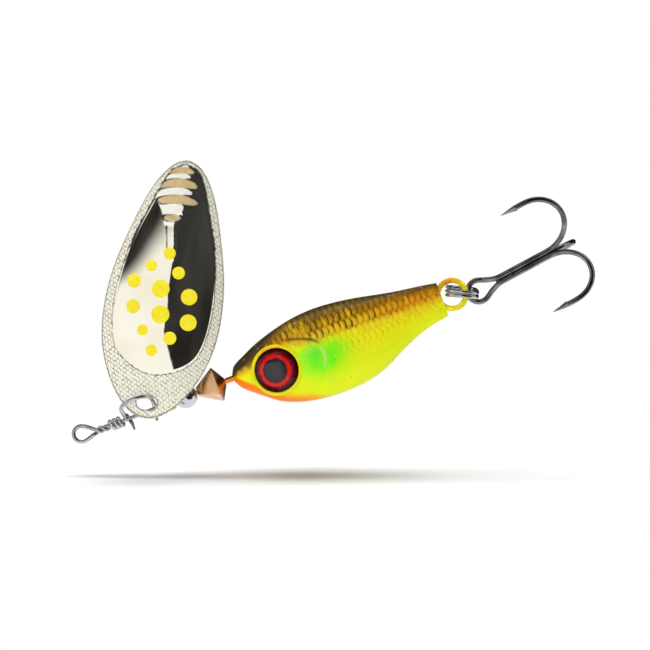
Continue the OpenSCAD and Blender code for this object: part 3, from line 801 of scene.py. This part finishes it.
def inside_by(outline, p):
    """Distance inside a closed outline, negative outside."""
    px, py = p.T
    best = np.full(len(p), 1e9)
    inside = np.zeros(len(p), bool)
    for (ax, ay), (bx, by) in zip(outline, np.roll(outline, -1, 0)):
        ex, ey = bx - ax, by - ay
        t = np.clip(((px - ax) * ex + (py - ay) * ey) / (ex * ex + ey * ey), 0, 1)
        best = np.minimum(best, np.hypot(px - ax - t * ex, py - ay - t * ey))
        if ay != by:
            inside ^= ((ay > py) != (by > py)) & (px < ex * (py - ay) / ey + ax)
    return np.where(inside, best, -best)


# the fan: height across its steps, half width, and the line of its middle, each against the distance along
FAN_STEPS = ((31.2, 0.0), (31.9, 0.17), (33.1, -0.04), (35.0, 0.20), (36.6, -0.06), (37.9, 0.18), (39.6, -0.05),
             (40.4, 0.12), (41.5, 0.0))
FAN_HALF = ((31.2, 0.9), (32.5, 1.45), (34.3, 2.3), (35.8, 3.85), (37.2, 3.45), (38.75, 3.0), (41.2, 2.0))
FAN_MIDDLE = ((25, 0.0), (28, -0.4), (31.9, -1.1), (36, -0.95), (41, -0.9))
FAN_TREADS = ((31.9, 33.0), (35.0, 36.55), (37.9, 39.45), (40.35, 41.5))
FAN_RISERS = ((31.2, 31.8), (33.15, 34.95), (36.7, 37.85), (39.55, 40.3))


def fan_place(u, v):
    """Distance up the fan, its mask, how far off its middle, and its half width there."""
    off = v - curve(FAN_MIDDLE, np.clip(u, 25, 41))
    half = curve(FAN_HALF, np.clip(u, 31.2, 41.2))
    along = u - 0.13 * off + 0.055 * off ** 2         # the steps bow upwards and rise a little to the right
    return along, smoothstep(half + 0.3, half - 0.3, np.abs(off)) * smoothstep(30.9, 31.4, u), off, half


def fan_relief(u, v):
    along, mask, off, _ = fan_place(u, v)
    steps = sum(np.interp(along + shift, *np.array(FAN_STEPS).T) for shift in (-0.12, -0.06, 0, 0.06, 0.12)) / 5
    stem = smoothstep(1.05, 0.55, np.abs(off)) * smoothstep(24.9, 26.0, u) * smoothstep(32.2, 31.2, u)
    return steps * mask + 0.16 * stem


def fan_bands(u, v):
    """Masks for the fan's flat step faces and the rising faces between them, both lens shaped: the first carry a
    painted tan reflection, the second a painted white highlight.
    """
    along, mask, off, half = fan_place(u, v)

    def lenses(spans, reach, shift):
        taper = np.sqrt(np.clip(1 - ((off - shift) / (half * reach)) ** 2, 0, 1))
        far = [np.abs(along - (low + high) / 2) - (high - low) / 2 * taper for low, high in spans]
        return smoothstep(0.1, -0.08, np.min(far, axis=0)) * (taper > 0) * mask

    return lenses(FAN_TREADS, 1.05, 0), lenses(FAN_RISERS, 0.85, -0.35)


def blade_front(u, v, dome):
    return (BLADE_CROWN * (1 - dish_fraction(u, v) ** 2) + BLADE_T - BORDER_DROP * (1 - smoothstep(-0.1, 0.4, dome))
            + (fan_relief(u, v) - 0.2 * smoothstep(18, 34, u)) * smoothstep(-0.1, 0.5, dome))


def blade_world(u, v, h):
    """Blade coordinates (along, across to the right, out of its face) to the row frame."""
    return HOLE + turned(np.stack([u, -h, -v], -1), BLADE_REST)


def hole_edge(a):
    """The oval hole's outline: two half circles joined by straight sides."""
    r, shift = HOLE_L / 2, (HOLE_W - HOLE_L) / 2
    du, dv = np.cos(a), np.sin(a)
    side = shift * np.abs(dv)
    k = np.where(np.abs(dv) * r <= np.abs(du) * shift, r / np.maximum(np.abs(du), 1e-9),
                 side + np.sqrt(side * side - shift * shift + r * r))
    return np.stack([k * du, k * dv], -1)


def make_blade(materials):
    around, across, rear_across = 420, 190, 60
    loop = np.vstack([EDGE, EDGE[:1]])
    run = run_length(loop)
    at = np.linspace(0, run[-1], around, endpoint=False)
    outer = np.stack([np.interp(at, run, loop[:, k]) for k in (0, 1)], -1)
    inner = hole_edge(np.arctan2(outer[:, 1], outer[:, 0]))
    outline = closed_outline(DOME_EDGE)

    def sheet(t):
        """Points from the hole to the edge, and the height of the front there."""
        p = (inner[None] + (outer - inner)[None] * t[:, None, None]).reshape(-1, 2)
        dome = inside_by(outline, p)
        return p[:, 0], p[:, 1], dome, blade_front(p[:, 0], p[:, 1], dome)

    t = np.linspace(0, 1, across)
    u, v, dome, h = sheet(t)
    share = np.repeat(t, around)
    h = h - EDGE_ROUND * (smoothstep(0.985, 1.0, share) + smoothstep(0.02, 0.0, share))
    u2, v2, _, over = sheet(np.linspace(1, 0, rear_across))
    h2 = np.maximum(over - BLADE_T + REAR_INSET, BLADE_CROWN * (1 - dish_fraction(u2, v2) ** 2) + 0.02)
    h2 = np.minimum(h2, over - THINNEST)
    obj = new_object("blade_sheet", np.vstack([blade_world(u, v, h), blade_world(u2, v2, h2)]),
                     ring_faces(across + rear_across, around, True), materials["plating"], sharp=50)
    clear = smoothstep(-0.1, 0.3, dome)
    span = np.linalg.norm(outer - inner, axis=1)
    from_hole, from_edge = np.outer(t, span).ravel(), np.outer(1 - t, span).ravel()
    # painted shade: dark bands just inside the outer edge and round the hole
    lip = bell((from_edge - 0.24) / 0.15) + 0.8 * bell((from_hole - 0.12) / 0.15)
    tread, riser, lip = (np.concatenate([field, 0 * u2]) for field in (*(b * clear for b in fan_bands(u, v)), lip))
    dome = np.clip(0.5 + np.concatenate([dome, np.full(len(u2), 9.0)]) / 2, 0, 1)
    attributes(obj, dome=dome, tread=tread, riser=riser, lip=lip)
    planar_uv(obj, np.stack([np.concatenate([v, v2]), np.concatenate([u, u2])], -1))
    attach(obj, "blade")
    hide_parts("blade")
    make_dots(outline, materials["dot"])


def make_dots(outline, material):
    """Painted dots: thin round cushions that follow the blade's face."""
    sides, bands = 48, 9
    f, turn = np.linspace(0, 1, bands), round_turn(sides)
    # a middle point and then the rings, on the top and again on the bottom
    disc = [tuple(1 + k for k in face) for face in ring_faces(bands - 1, sides)]
    disc += [(0, 1 + (j + 1) % sides, 1 + j) for j in range(sides)]
    count = 1 + (bands - 1) * sides
    rim = [(count - sides + j, count - sides + (j + 1) % sides) for j in range(sides)]
    faces = disc + [(a, b, count + b, count + a) for a, b in rim]
    faces += [tuple(count + k for k in face[::-1]) for face in disc]
    for number, (cu, cv, r) in enumerate(DOTS, 1):
        du = cu + (f[:, None] * r * np.cos(turn)).ravel()
        dv = cv + (f[:, None] * r * np.sin(turn)).ravel()
        base = blade_front(du, dv, inside_by(outline, np.stack([du, dv], -1)))
        lift = DOT_LIFT * (1 - np.repeat(f, sides) ** 6)
        top, bottom = (blade_world(du, dv, h)[sides - 1:] for h in (base + lift, base - DOT_SINK))
        dot = new_object(f"blade_dot_{number:02d}", np.vstack([top, bottom]), faces, material, sharp=60)
        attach(dot, "blade")


# ---- fish ----

BACK = ((0, STEM_R / BACK_H), (0.02, 0.29), (0.07, 0.46), (0.17, 0.715), (0.32, 0.945),
        (0.45, 1), (0.6, 0.9), (0.8, 0.64), (0.93, 0.51), (1, 0.43))
BELLY = ((0, STEM_R / BELLY_H), (0.02, 0.215), (0.07, 0.414), (0.17, 0.742), (0.3, 0.935),
         (0.47, 1), (0.63, 0.9), (0.8, 0.58), (0.9, 0.44), (1, 0.366))
FLANK = ((0, 2 * STEM_R / BODY_W), (0.02, 0.32), (0.07, 0.54), (0.17, 0.84), (0.3, 0.98),
         (0.45, 1), (0.63, 0.84), (0.8, 0.52), (0.93, 0.31), (1, 0.215))
SQUARENESS = 2.2             # the body's section is a superellipse of this power
GILL = ((9.6, 2.9), (11.2, 2.75), (13.2, 2.2), (15.2, 1.25), (16.3, 0.1), (16.7, -1.7), (16.2, -3.6),
        (14.9, -5.4), (12.8, -6.8))
SCALE_PITCH, SCALE_REACH = (1.08, 1.8), (0.9, 1.32)
SCALE_DEPTH, GILL_DEPTH, COVER_DEPTH = 0.10, 0.16, 0.05
# where the dark back gives way to the flank, and how low the orange throat starts, along the body
TONE_LINE = ((-0.05, 0.0), (0.0, 0.0), (0.08, 0.1), (0.18, 0.3), (0.27, 0.28), (0.38, 0.12), (0.55, 0.1),
             (0.8, 0.05), (1.05, 0.02))
THROAT_LINE = ((-0.05, 0.0), (0.0, -0.05), (0.05, -0.55), (0.15, -0.86), (0.3, -1.0), (0.42, -1.2), (1.05, -1.6))


def eye_axes(side):
    """Centre of an eye's seat and its unit vectors; the last points out of the fish."""
    c, s = math.cos(EYE_TURN), math.sin(EYE_TURN)
    centre = np.array([SNOUT_X + EYE_BACK, side * EYE_SEAT, -EYE_DROP])
    return centre, np.array([c, side * s, 0]), np.array([0, 0, 1.0]), np.array([-s, side * c, 0])


def scales(x, z):
    """Overlapping scales, front over rear: how near a point is to its scale's edge, and how far off its middle."""
    (pitch_x, pitch_z), (reach_x, reach_z) = SCALE_PITCH, SCALE_REACH
    best_x = np.full(len(x), 1e9)
    depth, off = np.full(len(x), 1.0), np.full(len(x), 1.0)
    for dr in (-1, 0, 1, 2):
        row = np.floor(z / pitch_z) + dr
        shift = np.mod(row, 2) * 0.5 * pitch_x
        for dc in (-1, 0, 1):
            xc = (np.floor((x - shift) / pitch_x) + dc) * pitch_x + shift
            dz = np.abs(z - row * pitch_z) / reach_z
            d = np.hypot((x - xc) / reach_x, dz)
            take = (d < 1) & (xc < best_x)
            best_x[take], depth[take], off[take] = xc[take], d[take], dz[take]
    return depth, off


def gill_distance(x, z):
    """Distance outside the gill cover's edge, negative inside, and how far along the edge its nearest point is."""
    gill = np.array(GILL)
    at = np.arange(len(gill))
    fine = np.linspace(0, len(gill) - 1, 90)
    edge = np.stack([curve(np.stack([at, gill[:, k]], -1), fine) for k in (0, 1)], -1)
    pts = np.stack([x, z], -1)
    near, where = np.full(len(x), 1e9), np.zeros(len(x))
    behind = np.zeros(len(x), bool)
    for k, (g, n) in enumerate(zip(edge[:-1], edge[1:])):
        e = n - g
        t = np.clip(((pts - g) @ e) / (e @ e), 0, 1)
        d = np.linalg.norm(pts - g - t[:, None] * e, axis=1)
        closer = d < near
        near[closer] = d[closer]
        where[closer] = k / len(edge)
        cross = e[0] * (pts[:, 1] - g[1]) - e[1] * (pts[:, 0] - g[0])
        behind[closer] = cross[closer] > 0
    return np.where(behind, near, -near), where


def make_fish(materials):
    rings, sides = 420, 260
    f = np.linspace(0, 1, rings) ** 1.25
    stem = np.linspace(STEM_X, SNOUT_X, 14)[:-1]
    x = np.concatenate([stem, SNOUT_X + BODY_L * f])
    up, down, out = (np.concatenate([np.full(len(stem), STEM_R), size * curve(shape, f)]) for size, shape in
                     ((BACK_H, BACK), (BELLY_H, BELLY), (BODY_W / 2, FLANK)))
    a = round_turn(sides)
    cy, sz = (np.sign(w) * np.abs(w) ** (2 / SQUARENESS) for w in (np.cos(a), np.sin(a)))
    X = np.repeat(x, sides)
    Y = (out[:, None] * cy).ravel()
    Z = np.where(sz > 0, up[:, None] * sz, down[:, None] * sz).ravel()
    rise, flatness = np.tile(sz, len(x)), np.tile(np.abs(cy), len(x))
    back_x = X - SNOUT_X
    F = back_x / BODY_L
    verts = np.stack([X, Y, Z], -1)

    # relief: everything is pressed in from the smooth body
    depth, off = scales(back_x, Z)
    signed, where = gill_distance(back_x, Z)
    ends = smoothstep(0.0, 0.14, where) * smoothstep(1.0, 0.8, where)
    to_tail, round_flank = smoothstep(1.0, 0.97, F), smoothstep(0.05, 0.3, flatness)
    scaly = smoothstep(0.3, 0.42, F) * smoothstep(-0.85, -0.1, rise) * smoothstep(0.0, 0.6, signed)
    scaly = np.maximum(scaly, smoothstep(0.2, 0.34, F) * smoothstep(0.45, 0.6, rise)) * to_tail * round_flank
    press = (SCALE_DEPTH * scaly * depth ** 2 + GILL_DEPTH * bell((signed - 0.12) / 0.2) * ends
             + COVER_DEPTH * smoothstep(0.0, 0.5, signed) * ends * smoothstep(3, 1, np.abs(signed)))
    half_y, half_z = np.repeat(out, sides), np.where(Z > 0, np.repeat(up, sides), np.repeat(down, sides))
    normal = np.stack([0 * X, Y / np.maximum(half_y, 0.3) ** 2, Z / half_z ** 2], -1)
    normal /= np.maximum(np.linalg.norm(normal, axis=1), 1e-6)[:, None]
    verts = verts - normal * press[:, None]

    # the seat of each eye
    for side in (-1, 1):
        centre, along, high, outward = eye_axes(side)
        rel = verts - centre
        r = np.hypot(rel @ along, rel @ high)
        w = rel @ outward
        limit = np.where(r < RIM_R - 0.12, -0.06, SEAT_DEEP - 0.16 + np.maximum(r - RIM_R, 0) * 0.75)
        on_side = (np.sign(Y) == side) & (r < RIM_R + 2.2) & (w > limit)
        verts[on_side] -= np.outer((w - limit)[on_side], outward)

    obj = new_object("fish", verts, ring_faces(len(x), sides) + end_faces(len(x), sides), materials["fish"],
                     sharp=55)
    line, throat = (curve(points, np.clip(F, -0.05, 1.05)) for points in (TONE_LINE, THROAT_LINE))
    crown = smoothstep(0.34, 0.14, F) * smoothstep(0.12, 0.42, rise - line)
    cheek = np.hypot((back_x - 15.9) / 5.6, (Z + 1.2) / 5.0)
    spot = np.hypot((back_x - 15.0) / 1.5, (Z + 0.6) / 2.0)
    attributes(
        obj,
        tone=np.clip(0.45 + 0.62 * (rise - line) + 0.2 * crown, 0, 1),
        scale_edge=scaly * smoothstep(0.55, 0.88, depth) * smoothstep(0.82, 0.5, off),
        scale_face=scaly * smoothstep(0.75, 0.2, depth),
        rust=smoothstep(0.55, 0.9, F) * bell((rise - 0.25) / 0.45) * 0.75,
        green=np.clip(1.7 * np.exp(-1.8 * cheek ** 2), 0, 1) * smoothstep(line + 0.15, line - 0.3, rise),
        teal=0.38 * np.exp(-2.0 * spot ** 2),
        orange=smoothstep(throat + 0.24, throat - 0.04, rise),
        # painted shade: a dark line along the gill cover's groove
        gill_line=bell((signed - 0.1) / 0.26) * smoothstep(0.02, 0.16, where) * smoothstep(0.52, 0.4, where) * 0.9,
        # painted highlight: a pale line just inside the cover's lower edge
        gill_edge=(bell((signed + 0.25) / 0.28) * smoothstep(0.48, 0.56, where)
                   * smoothstep(0.84, 0.66, where) * 0.75))
    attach(obj, "lure")
    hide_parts("fish_body")


def make_eye(side, name, materials):
    centre, along, high, outward = eye_axes(side)
    sides = 96
    cos, sin = np.cos(round_turn(sides)), np.sin(round_turn(sides))

    def revolve(part, profile, material, close=False):
        """Turns a profile of (radius, height above the seat) points about the eye's axis."""
        rows = [centre + np.outer(r * cos, along) + np.outer(r * sin, high) + w * outward for r, w in profile]
        faces = ring_faces(len(rows), sides, close)
        if not close:
            faces += end_faces(len(rows), sides)
        obj = new_object(f"{name}_{part}", np.vstack(rows), faces, material, sharp=50)
        planar_uv(obj, [(r * c, r * s) for r, _ in profile for c, s in zip(cos, sin)])
        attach(obj, "lure")
        return obj

    inner, outer = EYE_R - 0.03, RIM_R + 0.2
    mid, half = (inner + outer) / 2, (outer - inner) / 2
    arc = [(mid + half * math.cos(t), SEAT_DEEP - 0.2 + 0.2 * math.sin(t)) for t in np.linspace(0, math.pi, 12)]
    rim = revolve("rim", arc + [(inner, -0.5), (outer, -0.9)], materials["rim"], True)

    foil_r, dome_r = EYE_R - 0.02, EYE_R - 0.01
    foil = revolve("print", [(r, FOIL_T) for r in (0.02, 1.0, 2.0, 3.0, foil_r)] + [(foil_r, 0.0), (0.02, 0.0)],
                   materials["foil"])
    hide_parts(f"{name}_foil")

    ball_r = (EYE_R ** 2 + EYE_DOME ** 2) / (2 * EYE_DOME)
    top = [(ball_r * math.sin(t), FOIL_T + 0.01 + EYE_DOME - ball_r + ball_r * math.cos(t))
           for t in np.linspace(0.005, math.asin(dome_r / ball_r), 26)]
    # the foil's face lies in the resin, so that no air is trapped between them
    dome = revolve("resin", top + [(dome_r, FOIL_T / 2), (0.05, FOIL_T / 2)], materials["resin"])
    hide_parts(f"{name}_dome")


# ---- camera, light and floor, in metres ----

TILT = math.radians(21.2)
FOCUS = Vector((46.65, 0.0, 2.88)) * MM
RIGHT = Vector((math.cos(TILT), 0, -math.sin(TILT)))
UP = Vector((math.sin(TILT), 0, math.cos(TILT)))
BACK_AXIS = Vector((0, -1, 0))
CAMERA_FAR, CAMERA_LENS, CAMERA_SENSOR = 0.6, 189.9, 36
WHITE = (1, 1, 1, 1)
FILL_STRENGTH = 0.14
FLOOR_DROP, FLOOR_TILT, FLOOR_HALF, FLOOR_REACH = 0.0264, math.radians(12), 0.25, 0.066
FLOOR_TONE = (0.82, 0.82, 0.82, 1)
FLAG_LEVEL = 0.035
SOFT_W, SOFT_H, SOFT_MARGIN = 0.7, 0.28, 0.12    # half width, half height and margin of the soft flag


def from_focus(right, up, back):
    """A place right of, above and towards the camera from the object."""
    return FOCUS + RIGHT * right + UP * up + BACK_AXIS * back


def placed(name, data, right, up, back, position):
    obj = bpy.data.objects.new(name, data)
    obj.matrix_world = Matrix.Translation(position) @ Matrix((right, up, back)).transposed().to_4x4()
    bpy.context.scene.collection.objects.link(obj)
    return obj


def make_camera():
    data = bpy.data.cameras.new("camera")
    data.lens, data.sensor_width = CAMERA_LENS, CAMERA_SENSOR
    data.clip_start, data.clip_end = 0.01, 20
    bpy.context.scene.camera = placed("camera", data, RIGHT, UP, BACK_AXIS, from_focus(0, 0, CAMERA_FAR))


def make_lights():
    """Area lamps that face the object: place from it, size and power."""
    for name, offset, size, power in (
            ("key", (-0.45, 0.15, 0.6), (0.5, 0.5), 2.4),
            ("top", (0.02, 0.8, 0.0), (0.9, 0.26), 8.5),
            ("fill", (0.25, -0.12, 0.7), (0.8, 0.8), 3.2)):
        data = bpy.data.lights.new(name, "AREA")
        data.shape, data.size, data.size_y, data.energy = "RECTANGLE", size[0], size[1], power
        spot = from_focus(*offset)
        back = (spot - FOCUS).normalized()
        right = UP.cross(back).normalized() if abs(back.dot(UP)) < 0.9 else RIGHT
        placed(name, data, right, back.cross(right), back, spot).visible_glossy = False


def blank(owner):
    nodes = Nodes(owner)
    nodes.tree.nodes.clear()
    return nodes


def make_world():
    """White to the camera, to mirrors and to glass, and a dim fill to everything else."""
    world = bpy.context.scene.world = bpy.data.worlds.new("studio")
    n = blank(world)
    ray = n.add("LightPath").outputs
    seen = n.most(n.most(ray["Is Camera Ray"], ray["Is Glossy Ray"]), ray["Is Transmission Ray"])
    fill, white = (n.add("Background", WHITE, strength).outputs[0] for strength in (FILL_STRENGTH, 1.0))
    n.add("OutputWorld", n.mixed(seen, fill, white))


def rectangle(w, h):
    return (-w, -h), (w, -h), (w, h), (-w, h)


def panel(name, corners, material, right, up, back, position):
    mesh = bpy.data.meshes.new(name)
    mesh.from_pydata([(x, y, 0) for x, y in corners], [], [tuple(range(len(corners)))])
    mesh.materials.append(material)
    obj = placed(name, mesh, right, up, back, position)
    return obj


def make_floor():
    """A small pale floor that fades out to the white background, and keeps the shadow."""
    material = bpy.data.materials.new("floor")
    n = blank(material)
    far = n.add("VectorMath", n.add("TexCoord").outputs["Object"], (1 / FLOOR_REACH, 1 / FLOOR_REACH, 0),
                operation="MULTIPLY").outputs[0]
    far = n.add("VectorMath", far, operation="LENGTH").outputs["Value"]
    # the floor has no underside, so that the back and low views stay clear
    clear = n.most(n.fade(far, 0.55, 1.0), n.add("NewGeometry").outputs["Backfacing"])
    surface = n.mixed(clear, n.add("BsdfDiffuse", FLOOR_TONE).outputs[0], n.add("BsdfTransparent").outputs[0])
    n.add("OutputMaterial", surface)
    c, s = math.cos(FLOOR_TILT), math.sin(FLOOR_TILT)
    floor = panel("floor", rectangle(FLOOR_HALF, FLOOR_HALF), material, RIGHT, -BACK_AXIS * c + UP * s,
                  UP * c + BACK_AXIS * s, from_focus(0, -FLOOR_DROP, 0))
    floor.visible_glossy = False


def flag_material(name, soft=False):
    """A flag's dark tone; a soft one fades out towards its edges."""
    material = bpy.data.materials.new(name)
    n = blank(material)
    cloud = n.add("TexNoise", named={"Scale": 5.0}).outputs["Fac"]
    level = n.add("MapRange", cloud, 0.3, 0.7, 0.3 * FLAG_LEVEL, 1.7 * FLAG_LEVEL).outputs[0]
    surface = n.add("Emission", named={"Strength": level}).outputs[0]
    if soft:
        axes = n.add("SeparateXYZ", n.add("TexCoord").outputs["Object"]).outputs
        far = [n.fade(n.math("ABSOLUTE", axis), half - SOFT_MARGIN, half)
               for axis, half in zip(axes, (SOFT_W, SOFT_H))]
        surface = n.mixed(n.most(*far), surface, n.add("BsdfTransparent").outputs[0])
    n.add("OutputMaterial", surface)
    return material


def make_flags():
    """Studio flags that only mirrors see: they give the blade its dark half and the wires their dark edges."""
    black, soft = flag_material("flag_black"), flag_material("flag_soft", soft=True)
    for name, corners, place, material in (
            ("flag_right", ((-0.01, 1.3), (-0.012, -0.09), (0.03, -0.13), (0.14, -0.235), (0.35, -0.42),
                            (2.4, -0.7), (2.4, 1.3)), (0, 0, 0.64), black),
            ("flag_high", rectangle(SOFT_W, SOFT_H), (-0.72, 0.44, 0.64), soft),
            ("flag_over", ((-2.6, 0.78), (-0.012, 0.78), (-0.012, 1.32), (2.4, 1.32), (2.4, 3), (-2.6, 3)),
             (0, 0, 0.65), black),
            ("flag_low", ((-2.6, -2.6), (-0.25, -2.6), (-0.25, -1.3), (-2.6, -1.3)), (0, 0, 0.65), black),
            ("flag_behind", ((-3, -0.15), (3, -0.15), (3, 3), (-3, 3)), (0, 0, -1.0), black)):
        flag = panel(name, corners, material, RIGHT, UP, BACK_AXIS, from_focus(*place))
        flag.visible_camera = flag.visible_diffuse = flag.visible_shadow = flag.visible_transmission = False


make_camera()
make_lights()
make_world()
make_floor()
make_flags()
MATERIALS = make_materials()
make_line_wire(MATERIALS["steel"])
make_tail_ring(MATERIALS["ring_lacquer"])
make_clevis(MATERIALS["steel"])
make_split_ring(MATERIALS["split"])
make_hooks(MATERIALS)
make_ball(MATERIALS["chrome"])
make_bearing(MATERIALS["brass"])
make_faceted_bead(MATERIALS["copper"])
make_blade(MATERIALS)
make_fish(MATERIALS)
make_eye(-1, "left_eye", MATERIALS)
make_eye(1, "right_eye", MATERIALS)
bpy.context.scene.view_settings.view_transform = "Standard"

bpy.context.view_layer.update()
